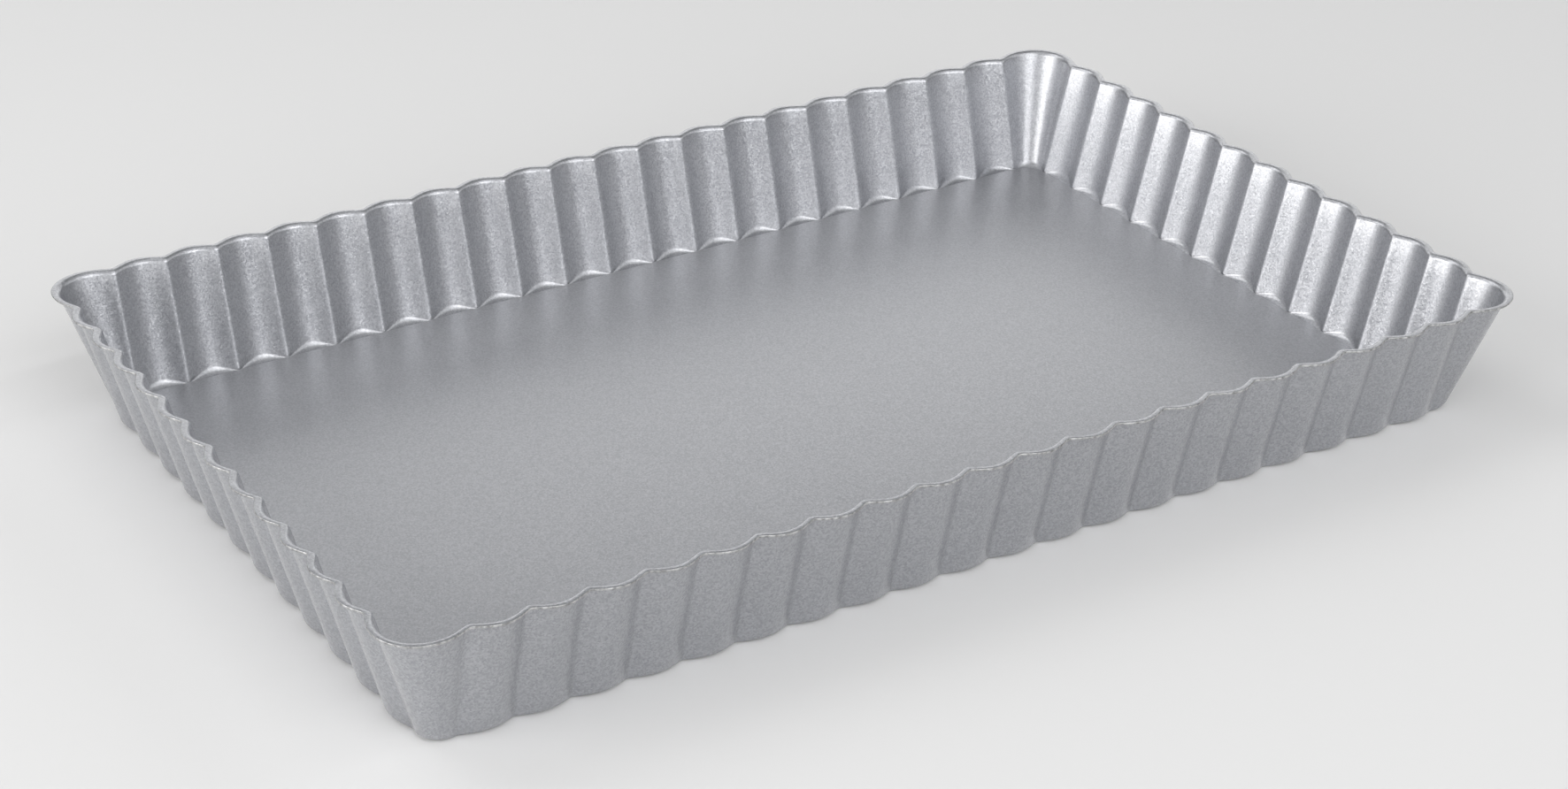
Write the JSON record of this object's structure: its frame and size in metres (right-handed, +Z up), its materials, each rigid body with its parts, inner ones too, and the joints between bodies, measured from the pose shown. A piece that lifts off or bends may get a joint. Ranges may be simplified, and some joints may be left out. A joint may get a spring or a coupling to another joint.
{
  "type": "loose-bottom tart pan",
  "caption": "Rectangular loose-bottom tart pan with flared fluted walls, a narrow scalloped rim and a flat lift-out base, in silver-grey non-stick coated steel.",
  "frame": {"origin": "on the table, under the centre of the pan (centre of the bounding box's bottom face)", "axes": "+X along the long sides, +Y across the short way, +Z up out of the pan"},
  "size_m": [0.2796, 0.1812, 0.0291],
  "materials": {
    "ring_coated_steel": "satin",
    "plate_coated_steel": "satin"
  },
  "bodies": {
    "ring": {"fluted_ring": "ring_coated_steel"},
    "base": {"base_plate": "plate_coated_steel"}
  },
  "joints": [
    {"name": "base_lift", "type": "slide", "parent": "ring", "child": "base", "axis": [0, 0, 1], "range_m": [0, 0.06]}
  ]
}
